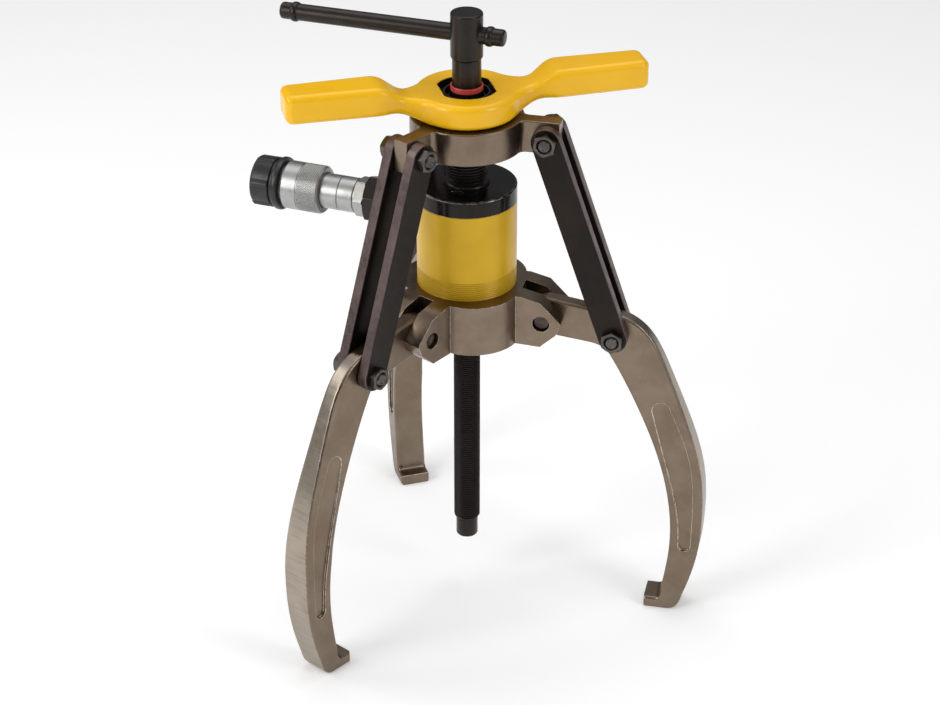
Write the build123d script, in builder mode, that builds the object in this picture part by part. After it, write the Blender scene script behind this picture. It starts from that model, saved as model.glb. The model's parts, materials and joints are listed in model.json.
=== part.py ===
from build123d import *
import os
from math import atan2, cos, degrees, hypot, radians, sin, sqrt

# Gear puller: three jaws closed and opened together by a yoke on a threaded sleeve, with a hollow-plunger
# hydraulic cylinder that pushes the centre screw down.
# Frame: origin at the end of the centre screw's tip, +Z up the screw. Millimetres.

# ---- cylinder ----
BARREL_R = 34.95
BARREL_BOTTOM = 176.5
BARREL_TOP = 276.5
BORE_R = 27.05
CAP_TOP = 288.5
CAP_SPIGOT = 5.0
CAP_CHAMFER = 0.8
RETAINER_START = 0.7       # groove of the ring that holds the end gland, above the barrel's lower end
RETAINER_HEIGHT = 1.6
RETAINER_DEPTH = 1.2
RETAINER_BORE_R = 24.5
SLACK = 0.1                # a ring is this much smaller than its groove
PLUNGER_ROD_R = 17.55
PLUNGER_BORE_R = 12.75
PLUNGER_NECK_R = 20.0
PLUNGER_TOP = 271.0
SEAL_BOTTOM = 249.5
SEAL_TOP = 253.5
SEAL_GROOVE_R = 24.5
TUBE_R = 12.7
TUBE_BORE_R = 10.3
TUBE_BOTTOM = 195.0
FIT = 0.05                 # radial clearance of a sliding or turning fit
FLANGE_BOTTOM = 246.0
FLANGE_TOP = 257.0
GLAND_BOTTOM = 179.0
GLAND_TOP = 190.0
GLAND_SEAL_BOTTOM = 183.0
GLAND_SEAL_TOP = 186.0
GLAND_SEAL_R = 20.5
SADDLE_R = 15.0
SADDLE_BOTTOM = 174.5
SADDLE_TOP = 186.5
SPRING_R = 22.3
SPRING_WIRE_R = 1.75
SPRING_TURNS = 4
SPRING_GAP = 0.2           # between the spring's end turns and what they press on
PLUG_AT = (-7.3, -20.4)
PLUG_R = 5.0
PLUG_BOTTOM = 281.0
PLUG_SOCKET_R = 3.0
PLUG_SOCKET_DEPTH = 4.0

# ---- threaded sleeve, yoke and handle ----
SLEEVE_R = 14.5
SLEEVE_FOOT_R = 15.9
SLEEVE_TOP = 352.5
SLEEVE_BORE_R = 12.0
SLEEVE_BORE_FLOOR = 327.0
THREAD_GAP = 0.3           # plain stand-in surfaces of a screw pair stay this far apart
YOKE_BOTTOM = 317.0
YOKE_TOP = 340.0
YOKE_R = 39.0
LUG_END = 65.4
LUG_HALF = 5.8
YOKE_EDGE_R = 0.8
YOKE_CORNER_R = 5.0
JOURNAL_R = 24.0
NUT_FLANGE_R = 28.0
NUT_FLANGE_TOP = 321.0
NUT_FLANGE_GAP = 0.2
JOURNAL_TOP = 340.4
NUT_D_TOP = 352.2
NUT_NECK_R = 16.2
NUT_NECK_TOP = 356.0
SNAP_RING_R = 17.7
SNAP_RING_HEIGHT = 1.5
HUB_R = 36.0
HUB_BOTTOM = 340.8
HUB_TOP = 358.5
HANDLE_AZIMUTH = 14.7
WING_TIP = 126.0
WING_BOTTOM = 348.5
WING_TOP = 369.0
RECESS_FLAT = 17.95        # half across the flats of the handle's opening
RECESS_R = 20.9
RECESS_FLOOR = 352.5
DRIVE_FLAT = 16.5
DRIVE_R = 19.5
NECK_ROOT = 30.0           # stations along the handle's length, from the axis
RISE_START = 39.0
NECK_AT = 47.0
WING_UNDER_START = 57.0
WING_START = 66.0
NECK_HALF = 11.2           # half widths of the handle
WING_HALF = 14.4
WING_TIP_HALF = 13.0
TIP_CORNER_R = 5.5
COAT_EDGE_R = 4.5          # the dip coating rounds every edge
RIM_R = 0.8

# ---- jaws, links and bracket ----
JAW_AZIMUTHS = (-12.28, 107.72, 227.72)
BRACKET_TOP = 213.3
BRACKET_R = 46.6           # ring, half way between two jaws
BRACKET_CREASE = 39.0      # where the ring's wall meets an ear, along the jaw
EAR_HALF = 20.0
SLOT_HALF = 6.2
SLOT_END = 41.0
PIVOT = (56.9, 193.5)      # jaw pivot: distance from the axis, height
PIVOT_PIN_R = 6.0
PIN_HALF = 17.0
UPPER_BOLT = (57.0, 328.1)
LOWER_BOLT = (106.7, 183.5)
BOLT_R = 4.76
BOLT_PLAY_SHIFT = (1.49, -0.45)   # centre of the jaw's clearance hole from the lower bolt
BOLT_PLAY_R = 6.8
LINK_GAP_HALF = 6.1
LINK_THICK = 8.0
LINK_END_R = 10.25
LINK_CHAMFER = 0.6
NUT_ACROSS_FLATS = 14.3
NUT_HEIGHT = 5.3
HEAD_HEIGHT = 6.0
STUD_STICKOUT = 0.6
UPPER_HEX_TURN = 20.0      # each fastener stopped where it was tightened to
LOWER_HEX_TURN = 30.0
JAW_THIN_HALF = 5.8
JAW_FULL_HALF = 11.45
TAPER_TOP = 172.0
TAPER_BOTTOM = 52.5
FLOOR = -39.5
CLAW_TOP = -30.9
POCKET_DEPTH = 1.8
JAW_EDGE_R = 2.0
REACH = 200.0              # longer than any jaw is wide

# ---- centre screw and tommy bar ----
SCREW_R = 9.525
TIP_R = 7.95
TIP_LENGTH = 15.5
SHANK_R = 9.9
SHANK_BOTTOM = 345.0
HEAD_R = 11.1
HEAD_BOTTOM = 380.8
HEAD_TOP = 412.3
BAR_Z = 396.9
BAR_R = 5.85
BAR_AZIMUTH = 161.0
BAR_LEFT = 133.5
BAR_RIGHT = 27.0
STOP_RING_R = 7.15
STOP_RING_WIDTH = 5.0
STOP_RING_INSET = 8.0
BAR_EDGE_R = 1.5
CROSS_HOLE_R = 5.95
RED_RING_BOTTOM = 357.0
RED_RING_HEIGHT = 3.9
RED_RING_R = 11.25

# ---- oil port and coupler ----
PORT_AZIMUTH = 159.0
PORT_Z = 263.5
PORT_THREAD_R = 8.5
PORT_THREAD_START = 29.0   # stations from the cylinder's axis
FITTING_NECK_START = 35.2
FITTING_NECK_R = 12.0
FITTING_HEX_START = 57.0
FITTING_ACROSS_FLATS = 30.4
COUPLER_START = 73.0
COUPLER_HEX_END = 80.8
COUPLER_ACROSS_FLATS = 25.6
COUPLER_R = 12.5
JOINT_LINE_AT = 93.6
JOINT_LINE_DEPTH = 0.4
STEM_R = 13.0              # what the collar slides on
COLLAR_BORE_R = 13.05
SOCKET_R = 6.0
SOCKET_FLOOR = 112.0
POPPET_R = 5.0
POPPET_SHOULDER = 143.0
POPPET_TIP_R = 3.0
POPPET_END = 148.0
COLLAR_START = 106.7
COLLAR_END = 135.3
COLLAR_R = 17.2
NOSE_R = 14.7
NOSE_END = 151.0
CAP_START = 137.0
CAP_END = 159.0
CAP_R = 18.0
CAP_FLANGE_R = 19.0
CAP_GROOVE_R = 16.6
CAP_GROOVE_START = 142.5
CAP_SKIRT_START = 144.8
CAP_FACE_THICK = 3.5
CAP_EDGE = 1.5
RIB_COUNT = 6
RIB_AT_R = 17.6
RIB_DEEP = 2.2
RIB_WIDE = 3.6

os.makedirs("parts", exist_ok=True)


def save(piece, label):
    piece.part.label = label
    export_step(piece.part, "parts/" + label + ".step")


def outward(azimuth):
    return Vector(cos(radians(azimuth)), sin(radians(azimuth)), 0)


def radial_plane(azimuth):
    """Upright plane through the axis: local x is the distance from the axis, local y the height."""
    out = outward(azimuth)
    return Plane(origin=(0, 0, 0), x_dir=out, z_dir=(out.Y, -out.X, 0))


def facing_plane(azimuth, distance=0.0, height=0.0):
    """Upright plane that faces outward: local x is tangential, local y the height."""
    out = outward(azimuth)
    origin = (out.X * distance, out.Y * distance, height)
    return Plane(origin=origin, x_dir=(-out.Y, out.X, 0), z_dir=out)


def turned(label, points, plane=Plane.XZ, axis=Axis.Z):
    """A closed profile of (distance from the axis, height) points turned about the axis."""
    with BuildPart() as piece:
        with BuildSketch(plane):
            with BuildLine():
                Polyline(*points, close=True)
            make_face()
        revolve(axis=axis)
    save(piece, label)


def rectangle_points(inner, outer, bottom, top):
    return [(inner, bottom), (outer, bottom), (outer, top), (inner, top)]


# ---- cylinder: shell ----
with BuildPart() as cylinder_barrel:
    with BuildSketch(Plane.XY.offset(BARREL_BOTTOM)):
        Circle(BARREL_R)
        Circle(BORE_R, mode=Mode.SUBTRACT)
    extrude(amount=BARREL_TOP - BARREL_BOTTOM)
    with BuildSketch(Plane.XY.offset(BARREL_BOTTOM + RETAINER_START)):
        Circle(BORE_R + RETAINER_DEPTH)
    extrude(amount=RETAINER_HEIGHT, mode=Mode.SUBTRACT)
    with BuildSketch(facing_plane(PORT_AZIMUTH, height=PORT_Z)):
        Circle(PORT_THREAD_R)
    extrude(amount=BARREL_R + 1, mode=Mode.SUBTRACT)
save(cylinder_barrel, "cylinder_barrel")

with BuildPart() as cylinder_cap:
    with BuildSketch(Plane.XY.offset(BARREL_TOP)):
        Circle(BARREL_R)
    extrude(amount=CAP_TOP - BARREL_TOP)
    chamfer(cylinder_cap.edges().group_by(Axis.Z)[-1], CAP_CHAMFER)
    with BuildSketch(Plane.XY.offset(BARREL_TOP - CAP_SPIGOT)):
        Circle(BORE_R)
    extrude(amount=CAP_SPIGOT)
    with BuildSketch(Plane.XY.offset(BARREL_TOP - CAP_SPIGOT)):
        Circle(TUBE_R)
    extrude(amount=CAP_SPIGOT, mode=Mode.SUBTRACT)
    with BuildSketch(Plane.XY.offset(BARREL_TOP)):
        Circle(SLEEVE_R)
    extrude(amount=CAP_TOP - BARREL_TOP, mode=Mode.SUBTRACT)
    with BuildSketch(Plane.XY.offset(PLUG_BOTTOM)):
        with Locations(PLUG_AT):
            Circle(PLUG_R)
    extrude(amount=CAP_TOP - PLUG_BOTTOM, mode=Mode.SUBTRACT)
save(cylinder_cap, "cylinder_cap")

with BuildPart() as cap_plug:
    with BuildSketch(Plane.XY.offset(PLUG_BOTTOM)):
        with Locations(PLUG_AT):
            Circle(PLUG_R)
    extrude(amount=CAP_TOP - CAP_CHAMFER - PLUG_BOTTOM)
    with BuildSketch(cap_plug.faces().sort_by(Axis.Z)[-1]):
        RegularPolygon(PLUG_SOCKET_R, 6)
    extrude(amount=-PLUG_SOCKET_DEPTH, mode=Mode.SUBTRACT)
save(cap_plug, "cap_plug")

# ---- cylinder: what is inside ----
turned("centre_tube", rectangle_points(TUBE_BORE_R, TUBE_R, TUBE_BOTTOM, BARREL_TOP))
turned("gland_ring", rectangle_points(
    RETAINER_BORE_R, BORE_R + RETAINER_DEPTH - FIT, BARREL_BOTTOM + RETAINER_START + SLACK,
    BARREL_BOTTOM + RETAINER_START + RETAINER_HEIGHT - SLACK,
))
turned("gland_seal", rectangle_points(
    PLUNGER_ROD_R + THREAD_GAP + FIT, GLAND_SEAL_R, GLAND_SEAL_BOTTOM, GLAND_SEAL_TOP,
))
turned("end_gland", [
    (PLUNGER_ROD_R + FIT, GLAND_BOTTOM), (BORE_R, GLAND_BOTTOM), (BORE_R, GLAND_TOP),
    (PLUNGER_ROD_R + FIT, GLAND_TOP), (PLUNGER_ROD_R + FIT, GLAND_SEAL_TOP),
    (GLAND_SEAL_R, GLAND_SEAL_TOP), (GLAND_SEAL_R, GLAND_SEAL_BOTTOM),
    (PLUNGER_ROD_R + FIT, GLAND_SEAL_BOTTOM),
])

with BuildPart() as return_spring:
    spring_height = FLANGE_BOTTOM - GLAND_TOP - 2 * (SPRING_WIRE_R + SPRING_GAP)
    spring_start = GLAND_TOP + SPRING_WIRE_R + SPRING_GAP
    with BuildLine() as coil:
        Helix(pitch=spring_height / SPRING_TURNS, height=spring_height, radius=SPRING_R,
              center=(0, 0, spring_start))
    with BuildSketch(Plane(origin=coil.line @ 0, z_dir=coil.line % 0)):
        Circle(SPRING_WIRE_R)
    sweep(path=coil.line, is_frenet=True)
save(return_spring, "return_spring")

turned("plunger", [
    (SADDLE_R, SADDLE_BOTTOM), (PLUNGER_ROD_R, SADDLE_BOTTOM), (PLUNGER_ROD_R, FLANGE_BOTTOM),
    (BORE_R - FIT, FLANGE_BOTTOM), (BORE_R - FIT, SEAL_BOTTOM), (SEAL_GROOVE_R, SEAL_BOTTOM),
    (SEAL_GROOVE_R, SEAL_TOP), (BORE_R - FIT, SEAL_TOP), (BORE_R - FIT, FLANGE_TOP),
    (PLUNGER_NECK_R, FLANGE_TOP), (PLUNGER_NECK_R, PLUNGER_TOP), (PLUNGER_BORE_R, PLUNGER_TOP),
    (PLUNGER_BORE_R, SADDLE_TOP), (SADDLE_R, SADDLE_TOP),
])
turned("piston_seal", rectangle_points(SEAL_GROOVE_R, BORE_R - THREAD_GAP, SEAL_BOTTOM, SEAL_TOP))
turned("saddle_insert", rectangle_points(SCREW_R + THREAD_GAP, SADDLE_R, SADDLE_BOTTOM, SADDLE_TOP))

# ---- threaded sleeve above the cap, with its flared foot ----
turned("threaded_sleeve", [
    (TUBE_BORE_R, BARREL_TOP), (SLEEVE_R, BARREL_TOP), (SLEEVE_R, CAP_TOP), (SLEEVE_FOOT_R, CAP_TOP),
    (SLEEVE_FOOT_R, CAP_TOP + 1.2), (SLEEVE_R, CAP_TOP + 3.2), (SLEEVE_R, SLEEVE_TOP - 1.0),
    (SLEEVE_R - 1.0, SLEEVE_TOP), (SLEEVE_BORE_R, SLEEVE_TOP), (SLEEVE_BORE_R, SLEEVE_BORE_FLOOR),
    (TUBE_BORE_R, SLEEVE_BORE_FLOOR),
])

# ---- bracket: a ring with three pairs of ears ----
EAR_OUTLINE = [
    (36.0, BARREL_BOTTOM), (56.4, 175.3), (67.5, 185.5), (70.6, 193.0), (70.0, 195.5),
    (56.4, 209.6), (42.0, 213.3), (36.0, BRACKET_TOP),
]


def bracket_crease(azimuth, side):
    along = outward(azimuth) * BRACKET_CREASE
    across = outward(azimuth + 90) * (side * EAR_HALF)
    return along + across


with BuildPart() as jaw_bracket:
    with BuildSketch(Plane.XY.offset(BARREL_BOTTOM)):
        with BuildLine():
            for azimuth in JAW_AZIMUTHS:
                Line(bracket_crease(azimuth, -1), bracket_crease(azimuth, 1))
                ThreePointArc(
                    bracket_crease(azimuth, 1), outward(azimuth + 60) * BRACKET_R,
                    bracket_crease(azimuth + 120, -1),
                )
        make_face()
    extrude(amount=BRACKET_TOP - BARREL_BOTTOM)
    for azimuth in JAW_AZIMUTHS:
        with BuildSketch(radial_plane(azimuth)):
            with BuildLine():
                Polyline(*EAR_OUTLINE, close=True)
            make_face()
        extrude(amount=EAR_HALF, both=True)
    for azimuth in JAW_AZIMUTHS:
        with BuildSketch(radial_plane(azimuth)):
            with Locations(((SLOT_END + LUG_END + 20) / 2, (BARREL_BOTTOM + BRACKET_TOP) / 2)):
                Rectangle(LUG_END + 20 - SLOT_END, 2 * (BRACKET_TOP - BARREL_BOTTOM))
        extrude(amount=SLOT_HALF, both=True, mode=Mode.SUBTRACT)
        with BuildSketch(radial_plane(azimuth)):
            with Locations(PIVOT):
                Circle(PIVOT_PIN_R)
        extrude(amount=EAR_HALF + 1, both=True, mode=Mode.SUBTRACT)
    with BuildSketch(Plane.XY.offset(BARREL_BOTTOM - 5)):
        Circle(BARREL_R)
    extrude(amount=BRACKET_TOP - BARREL_BOTTOM + 10, mode=Mode.SUBTRACT)
save(jaw_bracket, "jaw_bracket")

with BuildPart() as jaw_pivot_pins:
    for azimuth in JAW_AZIMUTHS:
        with BuildSketch(radial_plane(azimuth)):
            with Locations(PIVOT):
                Circle(PIVOT_PIN_R)
        extrude(amount=PIN_HALF, both=True)
save(jaw_pivot_pins, "jaw_pivot_pins")


# ---- jaws ----
def outline_edges(jaw, flat):
    """The long edges on both sides of the blank, without the creases where its sides start to taper."""
    def on_outline(edge):
        level = abs((edge @ 0).Z - (edge @ 1).Z) < 0.01
        crease = level and min(abs(edge.center().Z - TAPER_TOP), abs(edge.center().Z - TAPER_BOTTOM)) < 0.1
        return abs(edge.center().dot(flat.z_dir)) > JAW_THIN_HALF - 0.1 and not crease

    return jaw.edges().filter_by(on_outline)


def make_jaw(label, azimuth):
    """Flat heel on the pivot, a shoulder under the links, then a long curved arm that thickens to the claw.

    The pocket in each side runs out towards the links.
    """
    flat = radial_plane(azimuth)
    edge_on = facing_plane(azimuth, distance=20)
    heel_r = 13.2
    back_low = (164.6, -24.0)
    foot_back = (152.5, FLOOR)
    claw_inner = (143.6, CLAW_TOP)
    arm_low = (147.4, -27.2)
    pocket_floor_half = JAW_FULL_HALF - POCKET_DEPTH
    inner_top = (135.6, 126.0)
    inner_low = (159.2, 17.6)
    outer_low = (168.2, 17.6)
    outer_top = (149.0, 127.0)
    with BuildPart() as pocket:
        with BuildSketch(flat):
            with BuildLine():
                Spline(inner_top, (147.6, 83.5), (156.0, 51.3), inner_low, tangents=((0.27, -1), (0, -1)))
                ThreePointArc(inner_low, (163.7, 13.1), outer_low)
                Spline(
                    outer_low, (168.5, 53.0), (164.3, 88.0), (154.6, 115.0), outer_top,
                    tangents=((0, 1), (-0.47, 1)),
                )
                ThreePointArc(outer_top, (142.2, 133.2), inner_top)
            make_face()
        extrude(amount=JAW_FULL_HALF + 1, both=True)
        with BuildSketch(edge_on):
            with BuildLine():
                Polyline(
                    (-pocket_floor_half, FLOOR), (pocket_floor_half, FLOOR),
                    (pocket_floor_half, TAPER_BOTTOM), (JAW_THIN_HALF, TAPER_TOP),
                    (-JAW_THIN_HALF, TAPER_TOP), (-pocket_floor_half, TAPER_BOTTOM), close=True,
                )
            make_face()
        extrude(amount=REACH, mode=Mode.SUBTRACT)
    with BuildPart() as jaw:
        with BuildSketch(flat):
            with BuildLine():
                Line((58.5, PIVOT[1] + heel_r), (108.0, 199.0))
                Spline(
                    (108.0, 199.0), (129.0, 187.7), (146.8, 155.5), (158.2, 127.0), (168.6, 97.2),
                    (174.6, 68.0), (175.7, 40.3), (174.0, 14.6), (169.2, -9.0), back_low,
                )
                Spline(back_low, foot_back, tangents=((-0.33, -1), (-1, 0)))
                Polyline(foot_back, (135.7, FLOOR), (135.7, CLAW_TOP), claw_inner)
                Spline(claw_inner, arm_low, tangents=((1, 0), (0.13, 1)))
                Spline(
                    arm_low, (152.5, 12.0), (150.2, 54.7), (141.7, 87.5), (129.5, 117.9),
                    (105.3, 164.0), (88.4, 174.9), tangents=((0.13, 1), (-1, 0.12)),
                )
                Line((88.4, 174.9), (54.0, 179.0))
                Line((54.0, 179.0), (48.0, 183.0))
                Line((48.0, 183.0), (44.3, 190.0))
                Line((44.3, 190.0), (44.3, 197.5))
                Line((44.3, 197.5), (49.0, 204.3))
                Line((49.0, 204.3), (58.5, PIVOT[1] + heel_r))
            make_face()
        extrude(amount=JAW_FULL_HALF, both=True)
        with BuildSketch(edge_on):
            with BuildLine():
                Polyline(
                    (-JAW_FULL_HALF, FLOOR - 1), (JAW_FULL_HALF, FLOOR - 1), (JAW_FULL_HALF, TAPER_BOTTOM),
                    (JAW_THIN_HALF, TAPER_TOP), (JAW_THIN_HALF, BRACKET_TOP), (-JAW_THIN_HALF, BRACKET_TOP),
                    (-JAW_THIN_HALF, TAPER_TOP), (-JAW_FULL_HALF, TAPER_BOTTOM), close=True,
                )
            make_face()
        extrude(amount=REACH, mode=Mode.INTERSECT)
        fillet(outline_edges(jaw, flat), JAW_EDGE_R)
        add(pocket.part, mode=Mode.SUBTRACT)
        with BuildSketch(flat):
            with Locations(PIVOT):
                Circle(PIVOT_PIN_R + FIT)
            with Locations((LOWER_BOLT[0] + BOLT_PLAY_SHIFT[0], LOWER_BOLT[1] + BOLT_PLAY_SHIFT[1])):
                Circle(BOLT_PLAY_R)
        extrude(amount=JAW_FULL_HALF + 1, both=True, mode=Mode.SUBTRACT)
    save(jaw, label)


# ---- links with their bolts and nuts ----
link_length = hypot(LOWER_BOLT[0] - UPPER_BOLT[0], LOWER_BOLT[1] - UPPER_BOLT[1])
link_lean = degrees(atan2(LOWER_BOLT[1] - UPPER_BOLT[1], LOWER_BOLT[0] - UPPER_BOLT[0]))
link_middle = ((UPPER_BOLT[0] + LOWER_BOLT[0]) / 2, (UPPER_BOLT[1] + LOWER_BOLT[1]) / 2)
link_outer = LINK_GAP_HALF + LINK_THICK


def side_plane(azimuth, offset):
    """The jaw's upright plane moved sideways; a positive offset is towards the smaller azimuth."""
    return radial_plane(azimuth).offset(offset)


def make_link(label, azimuth, side):
    start = LINK_GAP_HALF if side > 0 else -link_outer
    with BuildPart() as link:
        with BuildSketch(side_plane(azimuth, start)):
            with Locations(Location((*link_middle, 0), (0, 0, link_lean))):
                SlotCenterToCenter(link_length, 2 * LINK_END_R)
            with Locations(UPPER_BOLT, LOWER_BOLT):
                Circle(BOLT_R + FIT, mode=Mode.SUBTRACT)
        extrude(amount=LINK_THICK)
        chamfer(link.faces().filter_by(GeomType.PLANE).sort_by(Axis(
            (0, 0, 0), tuple(side_plane(azimuth, 0).z_dir)))[0].outer_wire().edges(), LINK_CHAMFER)
        chamfer(link.faces().filter_by(GeomType.PLANE).sort_by(Axis(
            (0, 0, 0), tuple(side_plane(azimuth, 0).z_dir)))[-1].outer_wire().edges(), LINK_CHAMFER)
    save(link, label)


def hexagons():
    """The hexagons of both fasteners, each stopped where it was tightened to."""
    for place, turn in ((UPPER_BOLT, UPPER_HEX_TURN), (LOWER_BOLT, LOWER_HEX_TURN)):
        with Locations(Location((*place, 0), (0, 0, turn))):
            RegularPolygon(NUT_ACROSS_FLATS / 2, 6, major_radius=False)


def make_bolts(label, azimuth, nut_side):
    """Two hexagon bolts; the head is on the side away from the nut."""
    head_plane = side_plane(azimuth, -nut_side * link_outer)
    with BuildPart() as bolts:
        with BuildSketch(head_plane):
            hexagons()
        extrude(amount=-nut_side * HEAD_HEIGHT)
        with BuildSketch(head_plane):
            with Locations(UPPER_BOLT, LOWER_BOLT):
                Circle(BOLT_R)
        extrude(amount=nut_side * (2 * link_outer + NUT_HEIGHT + STUD_STICKOUT))
    save(bolts, label)


def make_nuts(label, azimuth, nut_side):
    with BuildPart() as nuts:
        with BuildSketch(side_plane(azimuth, nut_side * link_outer)):
            hexagons()
            with Locations(UPPER_BOLT, LOWER_BOLT):
                Circle(BOLT_R, mode=Mode.SUBTRACT)
        extrude(amount=nut_side * NUT_HEIGHT)
    save(nuts, label)


NUT_SIDES = (1, 1, -1)
for number, (azimuth, nut_side) in enumerate(zip(JAW_AZIMUTHS, NUT_SIDES), start=1):
    make_jaw(f"jaw_{number}", azimuth)
    make_link(f"link_{number}_a", azimuth, 1)
    make_link(f"link_{number}_b", azimuth, -1)
    make_bolts(f"link_{number}_bolts", azimuth, nut_side)
    make_nuts(f"link_{number}_nuts", azimuth, nut_side)

# ---- yoke ----
with BuildPart() as yoke:
    with BuildSketch(Plane.XY.offset(YOKE_BOTTOM)):
        Circle(YOKE_R)
        for azimuth in JAW_AZIMUTHS:
            with Locations(Location(outward(azimuth) * (LUG_END / 2), (0, 0, azimuth))):
                Rectangle(LUG_END, 2 * LUG_HALF)
    extrude(amount=YOKE_TOP - YOKE_BOTTOM)
    inner_corners = yoke.edges().filter_by(Axis.Z).filter_by(
        lambda edge: abs(hypot(edge.center().X, edge.center().Y) - YOKE_R) < 0.5)
    fillet(inner_corners, YOKE_CORNER_R)
    fillet(yoke.edges(), YOKE_EDGE_R)
    with BuildSketch(Plane.XY.offset(YOKE_BOTTOM)):
        Circle(JOURNAL_R + FIT)
    extrude(amount=YOKE_TOP - YOKE_BOTTOM, mode=Mode.SUBTRACT)
    with BuildSketch(Plane.XY.offset(YOKE_BOTTOM)):
        Circle(NUT_FLANGE_R + THREAD_GAP)
    extrude(amount=NUT_FLANGE_TOP + NUT_FLANGE_GAP - YOKE_BOTTOM, mode=Mode.SUBTRACT)
    for azimuth in JAW_AZIMUTHS:
        with BuildSketch(radial_plane(azimuth)):
            with Locations(UPPER_BOLT):
                Circle(BOLT_R + FIT)
        extrude(amount=LUG_HALF + 1, both=True, mode=Mode.SUBTRACT)
save(yoke, "yoke")


# ---- handle, the nut that it drives, and the snap ring that holds it on the nut ----
def double_d(radius, half_flat):
    """A circle with two flats, the flats square to the handle's length."""
    Circle(radius)
    Rectangle(2 * half_flat, 2 * radius, mode=Mode.INTERSECT)


handle_length_dir = outward(HANDLE_AZIMUTH)


def handle_plane(height):
    return Plane(origin=(0, 0, height), x_dir=handle_length_dir, z_dir=(0, 0, 1))


def handle_plan():
    """Round hub that runs through two narrow necks into the wings, seen from above."""
    root_v = sqrt(HUB_R**2 - NECK_ROOT**2)
    for end in (1, -1):
        for side in (1, -1):
            Spline(
                (NECK_ROOT * end, root_v * side), (NECK_AT * end, NECK_HALF * side),
                (WING_START * end, WING_HALF * side),
                tangents=((root_v * end, -NECK_ROOT * side), (end, 0)),
            )
            Line((WING_START * end, WING_HALF * side), (WING_TIP * end, WING_TIP_HALF * side))
        Line((WING_TIP * end, WING_TIP_HALF), (WING_TIP * end, -WING_TIP_HALF))
    RadiusArc((-NECK_ROOT, root_v), (NECK_ROOT, root_v), HUB_R)
    RadiusArc((-NECK_ROOT, -root_v), (NECK_ROOT, -root_v), -HUB_R)


def handle_side():
    """The wings rise above the hub in an S-curve on top and below, seen from the side."""
    reach = WING_TIP + 1
    Line((-NECK_ROOT, HUB_BOTTOM), (NECK_ROOT, HUB_BOTTOM))
    Line((-RISE_START, HUB_TOP), (RISE_START, HUB_TOP))
    for end in (1, -1):
        Spline(
            (NECK_ROOT * end, HUB_BOTTOM), (WING_UNDER_START * end, WING_BOTTOM),
            tangents=((end, 0.25), (end, 0)),
        )
        Polyline(
            (WING_UNDER_START * end, WING_BOTTOM), (reach * end, WING_BOTTOM), (reach * end, WING_TOP),
            (WING_START * end, WING_TOP),
        )
        Spline((WING_START * end, WING_TOP), (RISE_START * end, HUB_TOP), tangents=((-end, 0), (-end, 0)))


with BuildPart() as handle:
    with BuildSketch(handle_plane(HUB_BOTTOM)):
        with BuildLine():
            handle_plan()
        make_face()
    extrude(amount=WING_TOP - HUB_BOTTOM)
    with BuildSketch(radial_plane(HANDLE_AZIMUTH)):
        with BuildLine():
            handle_side()
        make_face()
    extrude(amount=HUB_R + 5, both=True, mode=Mode.INTERSECT)
    tip_corners = handle.edges().filter_by(Axis.Z).filter_by(
        lambda edge: hypot(edge.center().X, edge.center().Y) > WING_TIP - 1)
    fillet(tip_corners, TIP_CORNER_R)
    fillet(handle.edges(), COAT_EDGE_R)
    with BuildSketch(handle_plane(RECESS_FLOOR)):
        double_d(RECESS_R, RECESS_FLAT)
    extrude(amount=WING_TOP - RECESS_FLOOR, mode=Mode.SUBTRACT)
    with BuildSketch(handle_plane(HUB_BOTTOM)):
        double_d(DRIVE_R, DRIVE_FLAT)
    extrude(amount=HUB_TOP - HUB_BOTTOM, mode=Mode.SUBTRACT)
    recess_rim = handle.faces().filter_by(Axis.Z).filter_by(
        lambda face: abs(face.center().Z - HUB_TOP) < 0.1).sort_by(SortBy.AREA)[-1].inner_wires()
    fillet(recess_rim[0].edges(), RIM_R)
save(handle, "handle")

with BuildPart() as drive_nut:
    with BuildSketch(Plane.XY.offset(YOKE_BOTTOM)):
        Circle(NUT_FLANGE_R)
    extrude(amount=NUT_FLANGE_TOP - YOKE_BOTTOM)
    with BuildSketch(Plane.XY.offset(NUT_FLANGE_TOP)):
        Circle(JOURNAL_R)
    extrude(amount=JOURNAL_TOP - NUT_FLANGE_TOP)
    with BuildSketch(handle_plane(JOURNAL_TOP)):
        double_d(DRIVE_R - FIT, DRIVE_FLAT - FIT)
    extrude(amount=NUT_D_TOP - JOURNAL_TOP)
    with BuildSketch(Plane.XY.offset(NUT_D_TOP)):
        Circle(NUT_NECK_R)
    extrude(amount=NUT_NECK_TOP - NUT_D_TOP)
    with BuildSketch(Plane.XY.offset(YOKE_BOTTOM)):
        Circle(SLEEVE_R + THREAD_GAP)
    extrude(amount=NUT_NECK_TOP - YOKE_BOTTOM, mode=Mode.SUBTRACT)
save(drive_nut, "drive_nut")
turned("nut_snap_ring", rectangle_points(
    NUT_NECK_R, SNAP_RING_R, RECESS_FLOOR, RECESS_FLOOR + SNAP_RING_HEIGHT,
))

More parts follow.
